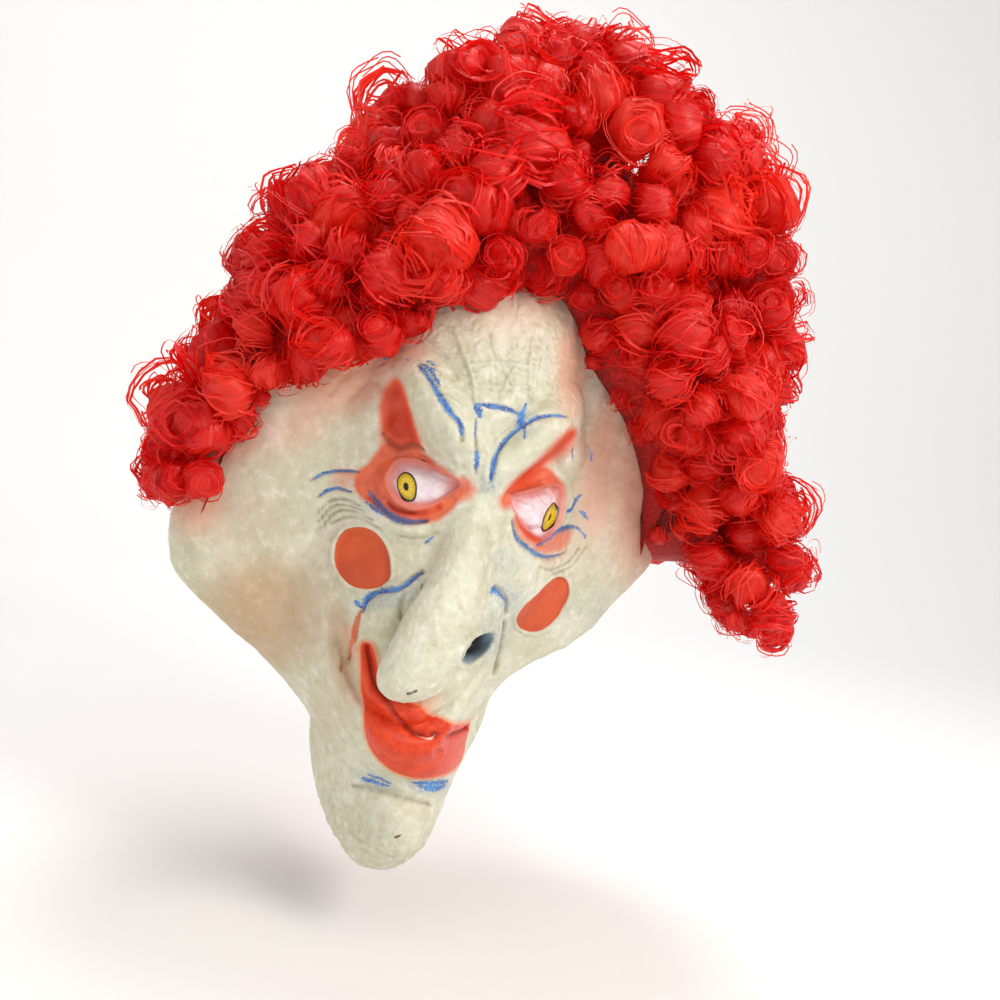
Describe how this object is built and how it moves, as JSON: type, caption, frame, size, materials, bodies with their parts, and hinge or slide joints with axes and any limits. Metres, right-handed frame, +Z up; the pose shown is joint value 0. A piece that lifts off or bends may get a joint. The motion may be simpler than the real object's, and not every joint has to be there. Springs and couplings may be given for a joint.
{
  "type": "clown mask",
  "caption": "Pull-over latex clown mask with a long hooked nose, painted face and a red curly wig glued round its crown.",
  "frame": {"origin": "inside of the crown, at its highest point, where the mask sits on the top of a head", "axes": "+Z up towards the crown, -Y the way the face looks, +X towards the wearer's left"},
  "size_m": [0.4795, 0.326, 0.5671],
  "materials": {
    "latex": "satin moulded latex, hand painted",
    "wig_hair": "glossy curled synthetic fibre"
  },
  "bodies": {
    "root": {"latex_mask": "latex", "curly_wig": "wig_hair"}
  },
  "joints": []
}
